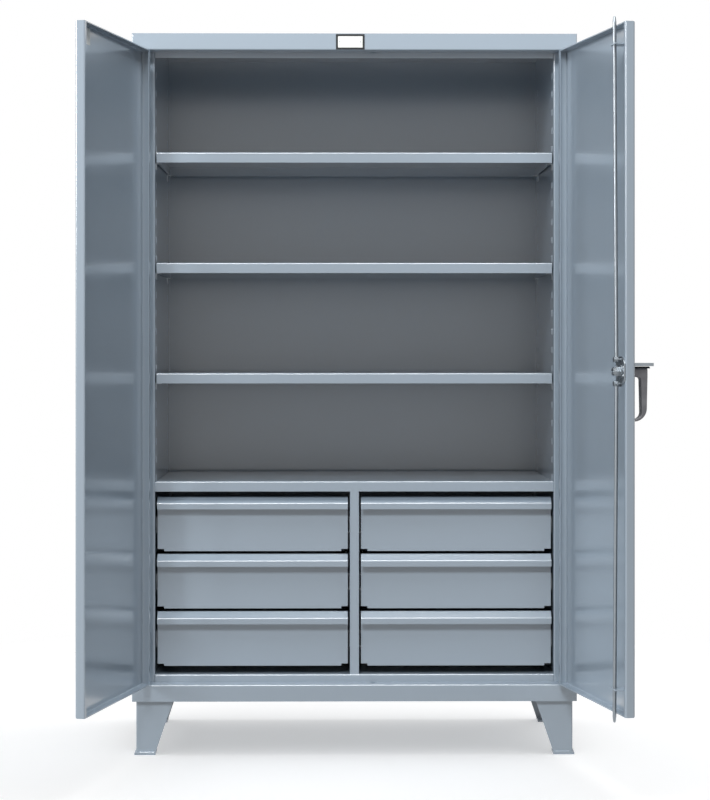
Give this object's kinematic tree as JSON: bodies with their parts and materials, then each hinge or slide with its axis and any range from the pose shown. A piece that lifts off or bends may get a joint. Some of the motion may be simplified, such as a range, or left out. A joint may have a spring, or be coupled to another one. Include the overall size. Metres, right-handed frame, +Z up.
{
  "type": "industrial cabinet",
  "caption": "Welded steel industrial cabinet on tapered legs, with hinged doors, adjustable shelves above drawers, and a rod latch worked by a cast lever.",
  "frame": {"origin": "on the floor, at the middle of the anchor holes in the foot plates", "axes": "+X to the right as one faces the doors, +Y to the back, +Z up"},
  "size_m": [1.438, 1.1977, 1.9758],
  "materials": {
    "blue_grey_paint": "semi-gloss baked paint",
    "zinc_plate": "zinc-plated steel",
    "cast_handle": "cast, lightly tumbled",
    "plate_enamel": "enamelled plate"
  },
  "bodies": {
    "cabinet": {"left_side_panel": "blue_grey_paint", "left_inner_panel": "blue_grey_paint", "right_side_panel": "blue_grey_paint", "right_inner_panel": "blue_grey_paint", "back_panel": "blue_grey_paint", "top_panel": "blue_grey_paint", "bottom_panel": "blue_grey_paint", "header": "blue_grey_paint", "sill": "blue_grey_paint", "floor_pan": "blue_grey_paint", "name_plate": "plate_enamel", "front_left_leg": "blue_grey_paint", "front_right_leg": "blue_grey_paint", "rear_left_leg": "blue_grey_paint", "rear_right_leg": "blue_grey_paint", "foot_plates": "blue_grey_paint", "upper_shelf": "blue_grey_paint", "middle_shelf": "blue_grey_paint", "lower_shelf": "blue_grey_paint", "shelf_clips": "zinc_plate", "drawer_deck": "blue_grey_paint", "drawer_divider": "blue_grey_paint", "left_bay_rails": "zinc_plate", "left_frame_hinges": "blue_grey_paint", "left_hinge_pins": "zinc_plate", "right_bay_rails": "zinc_plate", "right_frame_hinges": "blue_grey_paint", "right_hinge_pins": "zinc_plate"},
    "left_door": {"left_door_pan": "blue_grey_paint", "left_door_hinges": "blue_grey_paint"},
    "right_door": {"right_door_pan": "blue_grey_paint", "right_door_hinges": "blue_grey_paint", "rod_guides": "blue_grey_paint", "spindle_bush": "zinc_plate", "padlock_hasp": "zinc_plate"},
    "handle": {"handle_lever": "cast_handle", "latch_spindle": "zinc_plate", "latch_cam": "zinc_plate", "cam_nut": "zinc_plate"},
    "upper_rod": {"upper_latch_rod": "zinc_plate"},
    "lower_rod": {"lower_latch_rod": "zinc_plate"},
    "lower_left_drawer": {"lower_left_drawer_tray": "blue_grey_paint", "lower_left_drawer_front": "blue_grey_paint", "lower_left_drawer_rails": "zinc_plate"},
    "lower_right_drawer": {"lower_right_drawer_tray": "blue_grey_paint", "lower_right_drawer_front": "blue_grey_paint", "lower_right_drawer_rails": "zinc_plate"},
    "middle_left_drawer": {"middle_left_drawer_tray": "blue_grey_paint", "middle_left_drawer_front": "blue_grey_paint", "middle_left_drawer_rails": "zinc_plate"},
    "middle_right_drawer": {"middle_right_drawer_tray": "blue_grey_paint", "middle_right_drawer_front": "blue_grey_paint", "middle_right_drawer_rails": "zinc_plate"},
    "upper_left_drawer": {"upper_left_drawer_tray": "blue_grey_paint", "upper_left_drawer_front": "blue_grey_paint", "upper_left_drawer_rails": "zinc_plate"},
    "upper_right_drawer": {"upper_right_drawer_tray": "blue_grey_paint", "upper_right_drawer_front": "blue_grey_paint", "upper_right_drawer_rails": "zinc_plate"}
  },
  "joints": [
    {"name": "left_door_swing", "type": "hinge", "parent": "cabinet", "child": "left_door", "pos_m": [-0.5876, -0.31115, 1.0614], "axis": [0, 0, -1], "range_deg": [-101.6, 78.4]},
    {"name": "right_door_swing", "type": "hinge", "parent": "cabinet", "child": "right_door", "pos_m": [0.5876, -0.31115, 1.0614], "axis": [0, 0, 1], "range_deg": [-100.8, 79.2]},
    {"name": "handle_turn", "type": "hinge", "parent": "right_door", "child": "handle", "pos_m": [0.68489, -0.85505, 1.056], "axis": [0.9823, 0.1874, 0], "range_deg": [0, 90]},
    {"name": "upper_rod_pivot", "type": "hinge", "parent": "handle", "child": "upper_rod", "pos_m": [0.64737, -0.86221, 1.086], "axis": [0.9823, 0.1874, 0], "range_deg": [-93, 0]},
    {"name": "lower_rod_pivot", "type": "hinge", "parent": "handle", "child": "lower_rod", "pos_m": [0.64737, -0.86221, 1.026], "axis": [0.9823, 0.1874, 0], "range_deg": [-93, 0]},
    {"name": "lower_left_drawer_slide", "type": "slide", "parent": "cabinet", "child": "lower_left_drawer", "axis": [0, -1, 0], "range_m": [0, 0.36]},
    {"name": "lower_right_drawer_slide", "type": "slide", "parent": "cabinet", "child": "lower_right_drawer", "axis": [0, -1, 0], "range_m": [0, 0.36]},
    {"name": "middle_left_drawer_slide", "type": "slide", "parent": "cabinet", "child": "middle_left_drawer", "axis": [0, -1, 0], "range_m": [0, 0.36]},
    {"name": "middle_right_drawer_slide", "type": "slide", "parent": "cabinet", "child": "middle_right_drawer", "axis": [0, -1, 0], "range_m": [0, 0.36]},
    {"name": "upper_left_drawer_slide", "type": "slide", "parent": "cabinet", "child": "upper_left_drawer", "axis": [0, -1, 0], "range_m": [0, 0.36]},
    {"name": "upper_right_drawer_slide", "type": "slide", "parent": "cabinet", "child": "upper_right_drawer", "axis": [0, -1, 0], "range_m": [0, 0.36]}
  ],
  "couplings": [
    {"joint": "upper_rod_pivot", "follows": "handle_turn", "ratio": -1.0264},
    {"joint": "lower_rod_pivot", "follows": "handle_turn", "ratio": -1.028}
  ]
}
